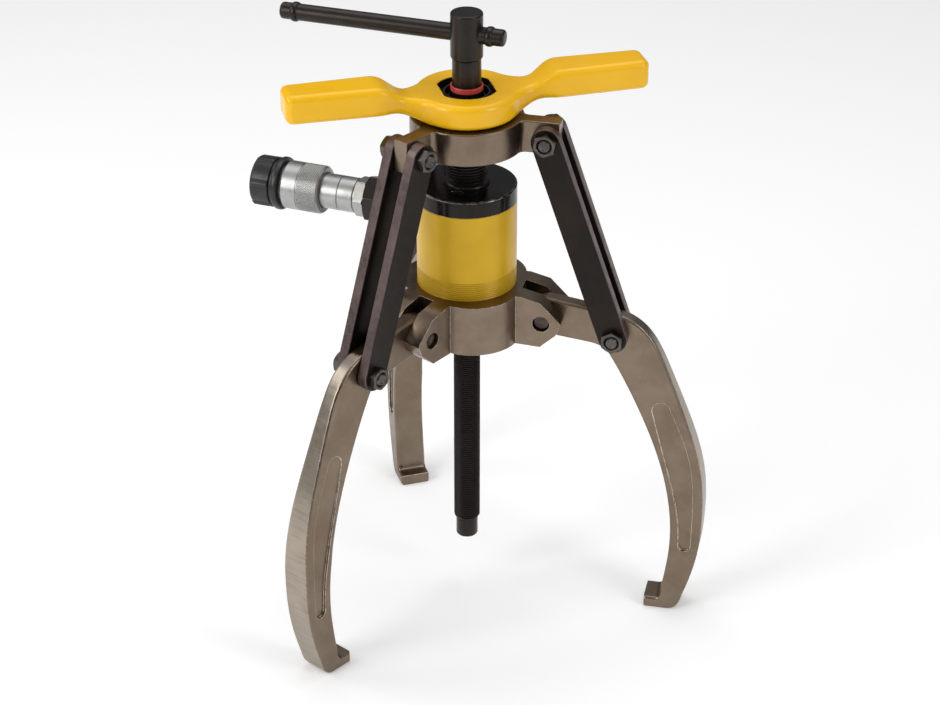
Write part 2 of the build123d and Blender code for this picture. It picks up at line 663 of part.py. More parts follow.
# ---- centre screw, its red ring and the tommy bar ----
with BuildPart() as centre_screw:
    with BuildSketch(Plane.XZ):
        with BuildLine():
            Polyline(
                (0, 0), (TIP_R - 1.0, 0), (TIP_R, 1.0), (TIP_R, TIP_LENGTH), (SCREW_R - 0.8, TIP_LENGTH),
                (SCREW_R, TIP_LENGTH + 0.8), (SCREW_R, SHANK_BOTTOM), (SHANK_R, SHANK_BOTTOM),
                (SHANK_R, HEAD_BOTTOM - 1.1), (HEAD_R, HEAD_BOTTOM), (HEAD_R, HEAD_TOP - 1.2),
                (HEAD_R - 0.35, HEAD_TOP - 0.35), (HEAD_R - 1.2, HEAD_TOP), (0, HEAD_TOP),
                close=True,
            )
        make_face()
    revolve(axis=Axis.Z)
    with BuildSketch(facing_plane(BAR_AZIMUTH, height=BAR_Z)):
        Circle(CROSS_HOLE_R)
    extrude(amount=HEAD_R + 2, both=True, mode=Mode.SUBTRACT)
save(centre_screw, "centre_screw")
turned("screw_ring", rectangle_points(SHANK_R + FIT, RED_RING_R, RED_RING_BOTTOM,
                                      RED_RING_BOTTOM + RED_RING_HEIGHT))

with BuildPart() as tommy_bar:
    with BuildSketch(facing_plane(BAR_AZIMUTH, distance=-BAR_RIGHT, height=BAR_Z)):
        Circle(BAR_R)
    extrude(amount=BAR_LEFT + BAR_RIGHT)
    fillet(tommy_bar.edges(), BAR_EDGE_R)
save(tommy_bar, "tommy_bar")

with BuildPart() as bar_stop_rings:
    for start in (-BAR_RIGHT + STOP_RING_INSET, BAR_LEFT - STOP_RING_INSET - STOP_RING_WIDTH):
        with BuildSketch(facing_plane(BAR_AZIMUTH, distance=start, height=BAR_Z)):
            Circle(STOP_RING_R)
            Circle(BAR_R, mode=Mode.SUBTRACT)
        extrude(amount=STOP_RING_WIDTH)
save(bar_stop_rings, "bar_stop_rings")

# ---- oil port fitting, coupler half and dust cap, all on one level axis ----
port_plane = Plane(
    origin=(0, 0, PORT_Z), x_dir=outward(PORT_AZIMUTH), z_dir=radial_plane(PORT_AZIMUTH).z_dir,
)
port_axis = Axis((0, 0, PORT_Z), tuple(outward(PORT_AZIMUTH)))


def along_port(points):
    """Points given as (distance from the axis of the port, station along it), as the sketch needs them."""
    return [(station, radius) for radius, station in points]


with BuildPart() as port_fitting:
    with BuildSketch(port_plane):
        with BuildLine():
            Polyline(*along_port([
                (0, PORT_THREAD_START), (PORT_THREAD_R, PORT_THREAD_START),
                (PORT_THREAD_R, FITTING_NECK_START), (FITTING_NECK_R, FITTING_NECK_START + 0.6),
                (FITTING_NECK_R, FITTING_HEX_START), (0, FITTING_HEX_START),
            ]), close=True)
        make_face()
    revolve(axis=port_axis)
    with BuildSketch(facing_plane(PORT_AZIMUTH, distance=FITTING_HEX_START, height=PORT_Z)):
        RegularPolygon(FITTING_ACROSS_FLATS / 2, 6, major_radius=False)
    extrude(amount=COUPLER_START - FITTING_HEX_START)
save(port_fitting, "port_fitting")

with BuildPart() as coupler_body:
    with BuildSketch(facing_plane(PORT_AZIMUTH, distance=COUPLER_START, height=PORT_Z)):
        RegularPolygon(COUPLER_ACROSS_FLATS / 2, 6, major_radius=False)
    extrude(amount=COUPLER_HEX_END - COUPLER_START)
    with BuildSketch(port_plane):
        with BuildLine():
            Polyline(*along_port([
                (0, COUPLER_HEX_END), (COUPLER_R, COUPLER_HEX_END), (COUPLER_R, JOINT_LINE_AT - 0.3),
                (COUPLER_R - JOINT_LINE_DEPTH, JOINT_LINE_AT), (COUPLER_R, JOINT_LINE_AT + 0.3),
                (COUPLER_R, COLLAR_START + 2), (STEM_R, COLLAR_START + 2), (STEM_R, COLLAR_END + 0.3),
                (NOSE_R, COLLAR_END + 0.3), (NOSE_R, NOSE_END - 1), (NOSE_R - 1, NOSE_END),
                (SOCKET_R, NOSE_END), (SOCKET_R, SOCKET_FLOOR), (0, SOCKET_FLOOR),
            ]), close=True)
        make_face()
    revolve(axis=port_axis)
save(coupler_body, "coupler_body")

turned("coupler_poppet", along_port([
    (0, SOCKET_FLOOR), (POPPET_R, SOCKET_FLOOR), (POPPET_R, POPPET_SHOULDER), (POPPET_TIP_R, POPPET_END),
    (0, POPPET_END),
]), plane=port_plane, axis=port_axis)
turned("coupler_collar", along_port([
    (COLLAR_BORE_R, COLLAR_START), (COLLAR_R - 1.5, COLLAR_START), (COLLAR_R, COLLAR_START + 1.5),
    (COLLAR_R, COLLAR_END - 0.8), (COLLAR_R - 0.8, COLLAR_END), (COLLAR_BORE_R, COLLAR_END),
]), plane=port_plane, axis=port_axis)

with BuildPart() as dust_cap:
    with BuildSketch(port_plane):
        with BuildLine():
            Polyline(*along_port([
                (NOSE_R + THREAD_GAP, CAP_START), (CAP_R, CAP_START),
                (CAP_FLANGE_R, CAP_START + CAP_EDGE), (CAP_FLANGE_R, CAP_GROOVE_START - CAP_EDGE),
                (CAP_R, CAP_GROOVE_START), (CAP_GROOVE_R, CAP_GROOVE_START),
                (CAP_GROOVE_R, CAP_SKIRT_START - 0.3), (CAP_R, CAP_SKIRT_START), (CAP_R, CAP_END - CAP_EDGE),
                (CAP_R - CAP_EDGE, CAP_END), (0, CAP_END), (0, CAP_END - CAP_FACE_THICK),
                (NOSE_R + THREAD_GAP, CAP_END - CAP_FACE_THICK),
            ]), close=True)
        make_face()
    revolve(axis=port_axis)
    with BuildSketch(facing_plane(PORT_AZIMUTH, distance=CAP_SKIRT_START, height=PORT_Z)):
        with PolarLocations(RIB_AT_R, RIB_COUNT):
            Rectangle(RIB_DEEP, RIB_WIDE)
    extrude(amount=CAP_END - CAP_EDGE - CAP_SKIRT_START)
save(dust_cap, "dust_cap")
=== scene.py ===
import json
import math

import bmesh
import bpy
from mathutils import Matrix, Vector

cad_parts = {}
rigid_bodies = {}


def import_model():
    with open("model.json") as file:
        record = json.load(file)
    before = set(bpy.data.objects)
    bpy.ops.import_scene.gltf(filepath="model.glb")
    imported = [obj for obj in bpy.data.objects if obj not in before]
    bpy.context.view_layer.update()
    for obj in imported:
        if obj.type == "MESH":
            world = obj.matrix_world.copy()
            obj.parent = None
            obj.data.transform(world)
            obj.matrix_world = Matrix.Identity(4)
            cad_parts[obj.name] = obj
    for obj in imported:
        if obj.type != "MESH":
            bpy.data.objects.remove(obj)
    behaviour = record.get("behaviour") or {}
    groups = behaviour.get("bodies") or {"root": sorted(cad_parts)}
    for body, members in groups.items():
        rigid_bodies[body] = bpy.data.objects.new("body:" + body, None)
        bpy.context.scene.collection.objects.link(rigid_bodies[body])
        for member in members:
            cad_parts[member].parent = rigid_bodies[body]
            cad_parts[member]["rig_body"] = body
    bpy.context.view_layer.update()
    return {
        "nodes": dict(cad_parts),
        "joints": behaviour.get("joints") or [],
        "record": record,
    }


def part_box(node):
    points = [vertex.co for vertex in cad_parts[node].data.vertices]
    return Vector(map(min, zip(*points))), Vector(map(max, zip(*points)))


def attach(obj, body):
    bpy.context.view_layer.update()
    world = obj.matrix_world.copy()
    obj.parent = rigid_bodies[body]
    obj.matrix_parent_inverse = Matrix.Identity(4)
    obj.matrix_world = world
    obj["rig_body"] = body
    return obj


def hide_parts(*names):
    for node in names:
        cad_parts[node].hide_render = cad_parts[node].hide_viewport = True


# Gear puller. Metres, in the row frame: origin at the tip of the centre screw, +Z up the screw.
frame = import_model()
MM = 0.001
UP = Vector((0, 0, 1))
BODY_OF = {name: node["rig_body"] for name, node in frame["nodes"].items()}
SLOT_OF = {entry["node"]: entry["material_slot"] for entry in frame["record"]["subparts"]}
JOINTS = {joint["name"]: joint for joint in frame["joints"]}


# ---------------------------------------------------------------- camera, light and floor
LENS_MM = 92.15
SENSOR_MM = 36.0
CAMERA_DOWN = math.radians(29.27)
CAMERA_AT = Vector((2.2, -1502.3, 995.3)) * MM
FLOOR_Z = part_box("jaw_1")[0][2]
FLOOR_HALF = 12.0
FLOOR_TONE = 0.95
PAPER_GLOW = 0.17
OBJECT_MIDDLE = (0, 0, 0.17)
SKY_TINT = (0.98, 0.98, 1.0, 1)
DARK_WALL_SINE, BRIGHT_CEILING_SINE = 0.10, 0.85      # sine of the height angle where each tone is reached
WALL_STRENGTH, CEILING_STRENGTH = 0.07, 0.50
SOFTBOXES = (                 # name, place, size, watts
    ("key", (-1.35, -0.95, 0.95), (0.75, 1.1), 12.2),
    ("fill", (1.35, -0.95, 0.85), (0.6, 1.0), 8.5),
    ("top", (0.1, 0.5, 2.1), (1.8, 1.4), 14.5),
    ("side", (-1.55, 0.1, 1.3), (0.8, 0.8), 6),
)


def add_camera():
    data = bpy.data.cameras.new("camera")
    data.lens = LENS_MM
    data.sensor_width = SENSOR_MM
    data.clip_end = 20
    camera = bpy.data.objects.new("camera", data)
    camera.location = CAMERA_AT
    camera.rotation_euler = (math.radians(90) - CAMERA_DOWN, 0, 0)
    bpy.context.collection.objects.link(camera)
    bpy.context.scene.camera = camera


def add_softbox(name, position, size, watts):
    data = bpy.data.lights.new(name, "AREA")
    data.shape = "RECTANGLE"
    data.size, data.size_y = size
    data.energy = watts
    light = bpy.data.objects.new(name, data)
    light.location = position
    light.rotation_euler = (Vector(OBJECT_MIDDLE) - Vector(position)).to_track_quat("-Z", "Y").to_euler()
    bpy.context.collection.objects.link(light)


def add_floor():
    mesh = bpy.data.meshes.new("floor")
    corners = [(x * FLOOR_HALF, y * FLOOR_HALF, FLOOR_Z) for x, y in ((-1, -1), (1, -1), (1, 1), (-1, 1))]
    mesh.from_pydata(corners, [], [(0, 1, 2, 3)])
    floor = bpy.data.objects.new("floor", mesh)
    bpy.context.collection.objects.link(floor)
    material = bpy.data.materials.new("floor_paper")
    material.use_nodes = True
    shader = material.node_tree.nodes["Principled BSDF"]
    shader.inputs["Base Color"].default_value = (FLOOR_TONE, FLOOR_TONE, FLOOR_TONE, 1)
    shader.inputs["Emission Color"].default_value = (1, 1, 1, 1)
    shader.inputs["Emission Strength"].default_value = PAPER_GLOW
    shader.inputs["Roughness"].default_value = 0.8
    shader.inputs["Specular IOR Level"].default_value = 0.1
    mesh.materials.append(material)


def add_world():
    world = bpy.data.worlds.new("studio")
    world.use_nodes = True
    nodes, links = world.node_tree.nodes, world.node_tree.links
    background = nodes["Background"]
    background.inputs["Color"].default_value = SKY_TINT
    coords = nodes.new("ShaderNodeTexCoord")
    split = nodes.new("ShaderNodeSeparateXYZ")
    links.new(coords.outputs["Generated"], split.inputs[0])
    fade = nodes.new("ShaderNodeMapRange")
    fade.interpolation_type = "SMOOTHSTEP"
    links.new(split.outputs["Z"], fade.inputs["Value"])
    fade.inputs["From Min"].default_value = DARK_WALL_SINE
    fade.inputs["From Max"].default_value = BRIGHT_CEILING_SINE
    fade.inputs["To Min"].default_value = WALL_STRENGTH
    fade.inputs["To Max"].default_value = CEILING_STRENGTH
    links.new(fade.outputs["Result"], background.inputs["Strength"])
    bpy.context.scene.world = world


add_camera()
add_floor()
add_world()
for softbox in SOFTBOXES:
    add_softbox(*softbox)
bpy.context.scene.view_settings.view_transform = "Standard"


# ---------------------------------------------------------------- materials
class Shading:
    """A material's node tree, with short calls for the nodes that the materials below share."""

    def __init__(self, name, colour, metallic, roughness, **sockets):
        self.material = bpy.data.materials.new(name)
        self.material.use_nodes = True
        self.nodes = self.material.node_tree.nodes
        self.links = self.material.node_tree.links
        self.shader = self.nodes["Principled BSDF"]
        self.shader.inputs["Metallic"].default_value = metallic
        self.shader.inputs["Roughness"].default_value = roughness
        self.shader.inputs["Base Color"].default_value = (*colour, 1)
        for socket, value in sockets.items():
            self.shader.inputs[socket.replace("_", " ")].default_value = value
        self.coords = self.nodes.new("ShaderNodeTexCoord")
        self.point = self.coords.outputs["Object"]
        self.bumped = None

    def plug(self, value, socket):
        if isinstance(value, bpy.types.NodeSocket):
            self.links.new(value, socket)
        elif isinstance(value, tuple) and len(value) == 3 and socket.type == "RGBA":
            socket.default_value = (*value, 1)
        else:
            socket.default_value = value

    def stretched(self, scale):
        """Coordinates scaled by axis, for grain that runs one way."""
        scaled = self.nodes.new("ShaderNodeMapping")
        scaled.inputs["Scale"].default_value = scale
        self.links.new(self.point, scaled.inputs["Vector"])
        return scaled.outputs["Vector"]

    def noise(self, per_metre, detail=4.0, rough=0.55, vector=None):
        node = self.nodes.new("ShaderNodeTexNoise")
        node.inputs["Scale"].default_value = per_metre
        node.inputs["Detail"].default_value = detail
        node.inputs["Roughness"].default_value = rough
        self.links.new(vector or self.point, node.inputs["Vector"])
        return node.outputs["Fac"]

    def part_of(self, vector, axis):
        split = self.nodes.new("ShaderNodeSeparateXYZ")
        self.links.new(vector, split.inputs[0])
        return split.outputs[axis]

    def ramp(self, value, low, high, from_value=0.0, to_value=1.0):
        node = self.nodes.new("ShaderNodeMapRange")
        node.interpolation_type = "SMOOTHSTEP"
        self.plug(value, node.inputs["Value"])
        node.inputs["From Min"].default_value = low
        node.inputs["From Max"].default_value = high
        node.inputs["To Min"].default_value = from_value
        node.inputs["To Max"].default_value = to_value
        return node.outputs["Result"]

    def maths(self, operation, first, second=0.0):
        node = self.nodes.new("ShaderNodeMath")
        node.operation = operation
        self.plug(first, node.inputs[0])
        self.plug(second, node.inputs[1])
        return node.outputs[0]

    def mix(self, amount, first, second):
        """A colour between two colours."""
        node = self.nodes.new("ShaderNodeMix")
        node.data_type = "RGBA"
        self.plug(amount, node.inputs[0])
        self.plug(first, node.inputs[6])
        self.plug(second, node.inputs[7])
        return node.outputs[2]

    def blend(self, amount, first, second):
        """A number between two numbers."""
        node = self.nodes.new("ShaderNodeMix")
        self.plug(amount, node.inputs[0])
        self.plug(first, node.inputs[2])
        self.plug(second, node.inputs[3])
        return node.outputs[0]

    def colour(self, value):
        self.plug(value, self.shader.inputs["Base Color"])

    def roughness(self, value):
        self.plug(value, self.shader.inputs["Roughness"])

    def bump(self, height, millimetres, strength=1.0):
        node = self.nodes.new("ShaderNodeBump")
        node.inputs["Strength"].default_value = strength
        node.inputs["Distance"].default_value = millimetres * MM
        self.plug(height, node.inputs["Height"])
        if self.bumped is not None:
            self.links.new(self.bumped, node.inputs["Normal"])
        self.bumped = node.outputs["Normal"]
        self.links.new(self.bumped, self.shader.inputs["Normal"])


WARM_SHEEN = (1.0, 0.84, 0.74, 1.0)       # oiled black finishes reflect a little brown
HUB_TOP_Z = 0.3585                        # metres; just below it the hub's opening is bare
HUB_OPENING_R = 0.02135
COAT_EDGE = 0.00015                       # metres over which coat and bare steel change
BARE_BELOW_TOP = 0.00075
BARREL_LINES_BOTTOM, BARREL_LINES_TOP, BARREL_LINE_PITCH = 180.5, 226.5, 1.5      # millimetres


def forged_nickel():
    """Plated steel forging: warm grey, faint mottling and shot-blast grain."""
    m = Shading("forged_nickel", (0.25, 0.21, 0.17), 1.0, 0.36)
    mottle = m.ramp(m.noise(45, 6, 0.6), 0.3, 0.7)
    stain = m.ramp(m.noise(11, 4), 0.45, 0.75)
    base = m.mix(mottle, (0.190, 0.143, 0.104), (0.240, 0.187, 0.140))
    m.colour(m.mix(m.maths("MULTIPLY", stain, 0.5), base, (0.175, 0.126, 0.085)))
    m.roughness(m.ramp(m.noise(130, 5, 0.65), 0.25, 0.75, 0.26, 0.38))
    m.bump(m.noise(1100, 3), 0.03, 0.3)
    m.bump(m.noise(150, 3), 0.12, 0.2)
    return m.material


def rubbed_nickel():
    """The same plating polished by handling; broken, as on an edge that is not rubbed everywhere."""
    m = Shading("rubbed_nickel", (0.70, 0.63, 0.54), 1.0, 0.20)
    broken = m.ramp(m.noise(330, 5, 0.75), 0.38, 0.54)
    m.colour(m.mix(broken, (0.29, 0.23, 0.18), (0.95, 0.86, 0.74)))
    m.roughness(m.blend(broken, 0.36, 0.42))
    m.bump(m.noise(900, 3), 0.05, 0.4)
    return m.material


def ground_nickel():
    """The jaws' backs, dressed across with a grinding wheel."""
    m = Shading("ground_nickel", (0.42, 0.37, 0.31), 1.0, 0.30)
    strokes = m.noise(1000, 2, 0.5, m.stretched((0.05, 0.05, 1.0)))
    broad = m.ramp(m.noise(35, 4), 0.3, 0.7)
    base = m.mix(broad, (0.305, 0.262, 0.212), (0.372, 0.320, 0.262))
    m.colour(m.mix(m.ramp(strokes, 0.50, 0.75), base, (0.262, 0.220, 0.175)))
    m.roughness(m.ramp(m.noise(200, 4), 0.25, 0.75, 0.30, 0.37))
    m.bump(strokes, 0.03, 0.2)
    return m.material


def black_oxide():
    """Oiled black oxide on turned steel."""
    m = Shading(
        "black_oxide", (0.010, 0.010, 0.010), 0.0, 0.30, Specular_IOR_Level=0.34,
        Specular_Tint=WARM_SHEEN,
    )
    mottle = m.ramp(m.noise(80, 5), 0.3, 0.75)
    m.colour(m.mix(mottle, (0.006, 0.0058, 0.0055), (0.014, 0.012, 0.011)))
    m.roughness(m.ramp(m.noise(90, 3), 0.3, 0.7, 0.27, 0.32))
    m.bump(m.noise(700, 2), 0.01, 0.3)
    return m.material


def fastener_black():
    """Phosphated bolts and nuts, whose flats throw back the lights."""
    m = Shading("fastener_black", (0.10, 0.09, 0.08), 1.0, 0.30)
    m.colour(m.mix(m.ramp(m.noise(150, 4), 0.3, 0.7), (0.085, 0.075, 0.068), (0.125, 0.112, 0.102)))
    m.roughness(m.ramp(m.noise(120, 3), 0.3, 0.7, 0.26, 0.34))
    m.bump(m.noise(700, 2), 0.01, 0.3)
    return m.material


def black_gloss():
    """Smooth enamelled black of the cylinder's cap."""
    m = Shading(
        "black_gloss", (0.006, 0.006, 0.006), 0.0, 0.16, Specular_IOR_Level=0.25,
        Specular_Tint=WARM_SHEEN,
    )
    m.colour(m.mix(m.ramp(m.noise(60, 4), 0.3, 0.7), (0.004, 0.004, 0.004), (0.010, 0.009, 0.009)))
    m.roughness(m.ramp(m.noise(160, 5, 0.65), 0.25, 0.8, 0.12, 0.26))
    m.bump(m.noise(260, 2), 0.03, 0.3)
    return m.material


def link_black():
    """Black oxide on the flat faces of the links, with scuffs and faint brown staining."""
    m = Shading(
        "link_black", (0.010, 0.009, 0.009), 0.0, 0.40, Specular_IOR_Level=0.22,
        Specular_Tint=WARM_SHEEN,
    )
    scuffs = m.ramp(m.noise(60, 8, 0.75, m.stretched((2.2, 2.2, 0.7))), 0.63, 0.72)
    stain = m.ramp(m.noise(22, 5), 0.4, 0.7)
    base = m.mix(stain, (0.0060, 0.0050, 0.0046), (0.015, 0.0105, 0.0085))
    base = m.mix(m.maths("MULTIPLY", scuffs, 0.35), base, (0.09, 0.08, 0.078))
    m.colour(base)
    m.roughness(m.ramp(m.noise(180, 6, 0.7), 0.25, 0.8, 0.26, 0.44))
    m.bump(m.noise(900, 3), 0.015, 0.3)
    m.bump(m.noise(60, 4), 0.1, 0.12)
    return m.material


def link_edge():
    """Narrow edges of the links: brownish steel under a thinner coat."""
    m = Shading("link_edge", (0.15, 0.115, 0.11), 1.0, 0.42)
    tone = m.ramp(m.noise(30, 5, 0.6), 0.3, 0.7)
    fine = m.ramp(m.noise(400, 4), 0.35, 0.7)
    base = m.mix(tone, (0.095, 0.070, 0.066), (0.17, 0.125, 0.12))
    m.colour(m.mix(m.maths("MULTIPLY", fine, 0.35), base, (0.20, 0.16, 0.155)))
    m.roughness(m.ramp(m.noise(200, 4), 0.2, 0.8, 0.36, 0.52))
    m.bump(m.noise(900, 3), 0.04, 0.45)
    return m.material


def handle_coat():
    """Thick glossy dip coating with a slight orange peel; the opening in the hub is bare black steel."""
    m = Shading("handle_coat", (0.80, 0.46, 0.012), 0.0, 0.26, Specular_IOR_Level=0.38)
    tone = m.ramp(m.noise(16, 3), 0.3, 0.7)
    coat = m.mix(tone, (0.88, 0.475, 0.004), (0.93, 0.515, 0.006))
    distance = m.nodes.new("ShaderNodeVectorMath")
    distance.operation = "LENGTH"
    flat = m.nodes.new("ShaderNodeVectorMath")
    flat.operation = "MULTIPLY"
    flat.inputs[1].default_value = (1, 1, 0)
    m.links.new(m.point, flat.inputs[0])
    m.links.new(flat.outputs[0], distance.inputs[0])
    near = m.ramp(distance.outputs["Value"], HUB_OPENING_R, HUB_OPENING_R + COAT_EDGE, 1.0, 0.0)
    bare_top = HUB_TOP_Z - BARE_BELOW_TOP
    inside = m.ramp(m.part_of(m.point, "Z"), bare_top, bare_top + COAT_EDGE, 1.0, 0.0)
    bare = m.maths("MULTIPLY", near, inside)
    m.colour(m.mix(bare, coat, (0.010, 0.010, 0.010)))
    m.roughness(m.ramp(m.noise(40, 2), 0.3, 0.7, 0.21, 0.26))
    m.bump(m.noise(160, 2, 0.4), 0.01, 0.10)
    return m.material


def barrel_paint():
    """Satin yellow paint over machined steel, with painted shade darkening the grooves of the collar thread
    that shows through it.
    """
    m = Shading("barrel_paint", (0.70, 0.43, 0.02), 0.15, 0.34, Specular_IOR_Level=0.34)
    tone = m.ramp(m.noise(24, 4), 0.3, 0.7)
    paint_colour = m.mix(tone, (0.60, 0.350, 0.006), (0.67, 0.405, 0.010))
    height = m.part_of(m.point, "Z")
    turns = m.maths("DIVIDE", m.maths("SUBTRACT", height, BARREL_LINES_BOTTOM * MM), BARREL_LINE_PITCH * MM)
    from_line = m.maths("ABSOLUTE", m.maths("SUBTRACT", m.maths("FRACT", turns), 0.5))
    line = m.ramp(from_line, 0.12, 0.34, 1.0, 0.0)
    below = m.ramp(height, (BARREL_LINES_TOP - 0.3) * MM, BARREL_LINES_TOP * MM, 1.0, 0.0)
    # painted shade: the collar thread's grooves are darkened in colour, standing in for the shade that falls
    # in them
    painted_groove_shade = m.maths("MULTIPLY", m.maths("MULTIPLY", line, below), 0.6)
    m.colour(m.mix(painted_groove_shade, paint_colour, (0.34, 0.19, 0.01)))
    m.roughness(m.ramp(m.noise(40, 3), 0.3, 0.7, 0.29, 0.35))
    m.bump(m.noise(500, 2), 0.01, 0.25)
    return m.material


def zinc():
    """Zinc plate on turned steel, gone slightly dull."""
    m = Shading("zinc", (0.42, 0.425, 0.41), 1.0, 0.38)
    stain = m.ramp(m.noise(70, 5, 0.6), 0.3, 0.75)
    m.colour(m.mix(stain, (0.35, 0.355, 0.34), (0.43, 0.435, 0.42)))
    m.roughness(m.ramp(m.noise(160, 4, 0.6), 0.25, 0.8, 0.33, 0.44))
    m.bump(m.noise(600, 3), 0.012, 0.25)
    return m.material


def knurl_groove_painted_light():
    """The knurl's rolled grooves: the same plate, more matt than the turned faces, and painted lighter as
    painted light standing in for the light the knurl's facets catch.
    """
    m = Shading("knurl_groove_painted_light", (0.17, 0.17, 0.155), 1.0, 0.5)
    m.colour(m.mix(m.ramp(m.noise(300, 4), 0.3, 0.7), (0.52, 0.52, 0.50), (0.62, 0.62, 0.60)))
    m.roughness(m.ramp(m.noise(300, 3), 0.25, 0.75, 0.38, 0.50))
    m.bump(m.noise(900, 2), 0.02, 0.3)
    return m.material


def worn_black():
    """Black enamel worn through to dark steel on the cap's edges."""
    m = Shading("worn_black", (0.16, 0.145, 0.13), 1.0, 0.30)
    m.colour(m.mix(m.ramp(m.noise(260, 5, 0.7), 0.4, 0.6), (0.05, 0.045, 0.04), (0.30, 0.27, 0.24)))
    m.roughness(m.ramp(m.noise(300, 3), 0.25, 0.75, 0.24, 0.38))
    m.bump(m.noise(900, 2), 0.02, 0.3)
    return m.material


def inner_steel():
    """Machined steel inside the cylinder and the ends of the pivot pins."""
    m = Shading("inner_steel", (0.20, 0.175, 0.15), 1.0, 0.38)
    m.colour(m.mix(m.ramp(m.noise(150, 5), 0.3, 0.7), (0.045, 0.036, 0.030), (0.10, 0.082, 0.068)))
    m.roughness(m.ramp(m.noise(300, 5), 0.2, 0.8, 0.30, 0.50))
    m.bump(m.noise(900, 3), 0.03, 0.4)
    return m.material


def red_ring():
    m = Shading("red_ring", (0.62, 0.06, 0.045), 0.0, 0.34)
    m.colour(m.mix(m.ramp(m.noise(250, 4), 0.3, 0.7), (0.50, 0.045, 0.035), (0.66, 0.085, 0.065)))
    m.roughness(m.ramp(m.noise(300, 4), 0.2, 0.8, 0.28, 0.44))
    m.bump(m.noise(900, 2), 0.03, 0.4)
    return m.material


def cap_plastic():
    """Moulded black plastic."""
    m = Shading("cap_plastic", (0.012, 0.012, 0.012), 0.0, 0.36, Specular_IOR_Level=0.45)
    m.colour(m.mix(m.ramp(m.noise(120, 4), 0.3, 0.7), (0.008, 0.008, 0.008), (0.017, 0.016, 0.016)))
    m.roughness(m.ramp(m.noise(400, 5, 0.65), 0.25, 0.8, 0.26, 0.46))
    m.bump(m.noise(1500, 2), 0.03, 0.4)
    return m.material


def seal_rubber():
    m = Shading("seal_rubber", (0.02, 0.02, 0.02), 0.0, 0.7)
    m.colour(m.mix(m.noise(300, 3), (0.012, 0.012, 0.012), (0.03, 0.03, 0.03)))
    m.bump(m.noise(1500, 2), 0.05, 0.5)
    return m.material


MATERIALS = {make.__name__: make() for make in (
    forged_nickel, rubbed_nickel, ground_nickel, black_oxide, fastener_black, black_gloss, worn_black,
    link_black, link_edge, handle_coat, barrel_paint, zinc, knurl_groove_painted_light, inner_steel, red_ring,
    cap_plastic, seal_rubber,
)}


def paint(obj, *names):
    obj.data.materials.clear()
    for name in names:
        obj.data.materials.append(MATERIALS[name])


# ---------------------------------------------------------------- mesh making
THREAD_STATIONS = (0.0, 0.125, 0.5, 0.625)     # crest start and end, root start and end, in pitches
WELD = 1e-5                   # millimetres, for turned pieces
CAD_WELD, CAD_SLIVER = 0.002, 0.001            # millimetres, for copies of CAD nodes
CREASE = 40                   # degrees; shading breaks at a sharper edge
OVERLAP = 0.02                # millimetres that a piece pressed on another runs into it
CROWN_SHARE = 0.97            # of the inscribed radius, where a hexagon's crown ends
TO_METRES = Matrix.Scale(MM, 4)


def smooth_step(value):
    value = min(max(value, 0.0), 1.0)
    return value * value * (3 - 2 * value)


def thread(bottom, top, pitch, crest, root):
    """Rows of a right-hand thread between two heights; it runs out at both ends."""
    rows = []
    turns = math.ceil((top - bottom) / pitch)
    for turn in range(-1, turns + 1):
        for station, along in enumerate(THREAD_STATIONS):
            radius = crest if station < 2 else root
            rows.append(thread_row(bottom, top, pitch, turn + along, radius, root))
    return rows


def thread_row(bottom, top, pitch, start, radius, root):
    def row(angle):
        height = bottom + (start + angle / math.tau) * pitch
        height = min(max(height, bottom), top)
        run_out = smooth_step(min(height - bottom, top - height) / pitch)
        return root + (radius - root) * run_out, height
    row.is_thread = True
    return row


def plain(radius, height):
    def row(_angle):
        return radius, height
    row.is_thread = False
    return row


def shaped(radius_at, height):
    """A row whose radius changes round the axis."""
    def row(angle):
        return radius_at(angle), height
    row.is_thread = False
    return row


def turned(rows, segments=96):
    """A surface turned about local Z from rows of (radius, height), as a bmesh in millimetres."""
    rows = [plain(*row) if isinstance(row, tuple) else row for row in rows]
    bm = bmesh.new()
    grid = []
    for row in rows:
        ring = []
        for column in range(segments):
            angle = math.tau * column / segments
            radius, height = row(angle)
            ring.append(bm.verts.new((radius * math.cos(angle), radius * math.sin(angle), height)))
        grid.append(ring)
    for index in range(len(rows) - 1):
        for column in range(segments):
            corners = [grid[index][column], None, None, grid[index + 1][column]]
            if column < segments - 1:
                corners[1:3] = grid[index][column + 1], grid[index + 1][column + 1]
            else:
                corners[1] = grid[wrapped(rows, index)][0]
                corners[2] = grid[wrapped(rows, index + 1)][0]
            bm.faces.new(corners)
    bmesh.ops.remove_doubles(bm, verts=bm.verts, dist=WELD)
    bmesh.ops.dissolve_degenerate(bm, dist=WELD, edges=bm.edges)
    bmesh.ops.recalc_face_normals(bm, faces=bm.faces)
    return bm


def wrapped(rows, index):
    """The row that a thread's row meets after one turn."""
    ahead = index + len(THREAD_STATIONS)
    if rows[index].is_thread and ahead < len(rows) and rows[ahead].is_thread:
        return ahead
    return index


def hexagon(across_flats, bottom, top, turn_degrees, base_crown=False, cone=0.55):
    """Rows of a hexagon, crowned by a cone at its top and, if asked, at its base."""
    inscribed = across_flats / 2

    def radius_at(angle):
        sector = (math.degrees(angle) - turn_degrees) % 60 - 30
        return inscribed / math.cos(math.radians(sector))

    def side_row(height, direction, crowned):
        def row(angle):
            radius = radius_at(angle)
            drop = (radius - inscribed * CROWN_SHARE) * cone if crowned else 0.0
            return radius, height - direction * drop
        row.is_thread = False
        return row

    rows = [(0, bottom)]
    if base_crown:
        rows.append((inscribed * CROWN_SHARE, bottom))
    rows += [side_row(bottom, -1, base_crown), side_row(top, 1, True)]
    return rows + [(inscribed * CROWN_SHARE, top), (0, top)]


